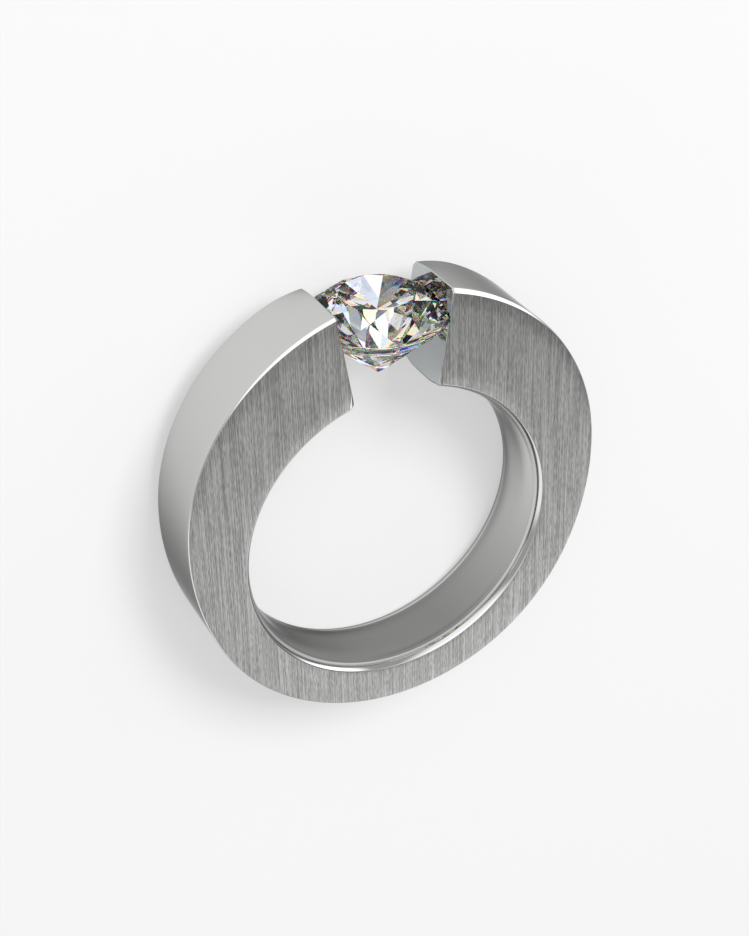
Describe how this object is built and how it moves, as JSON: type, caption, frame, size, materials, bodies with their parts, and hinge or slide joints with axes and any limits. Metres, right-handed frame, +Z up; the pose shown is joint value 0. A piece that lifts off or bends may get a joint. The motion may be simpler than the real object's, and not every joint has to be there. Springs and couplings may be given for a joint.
{
  "type": "tension set ring",
  "caption": "C-shaped finger ring, brushed on both sides and polished elsewhere, whose two ends grip a round brilliant-cut stone by its edge.",
  "frame": {"origin": "centre of the finger hole at mid width", "axes": "+Z up as the ring lies on its side, near the axis of the finger hole; +Y across the ring towards the stone; +X across both shoulders"},
  "size_m": [0.0244, 0.0255, 0.0077],
  "materials": {
    "band": "side faces brushed straight across, bevels, outside, end faces and finger hole polished",
    "stone": "clear, polished, facet-cut"
  },
  "bodies": {
    "root": {"band": "band", "stone": "stone"}
  },
  "joints": []
}
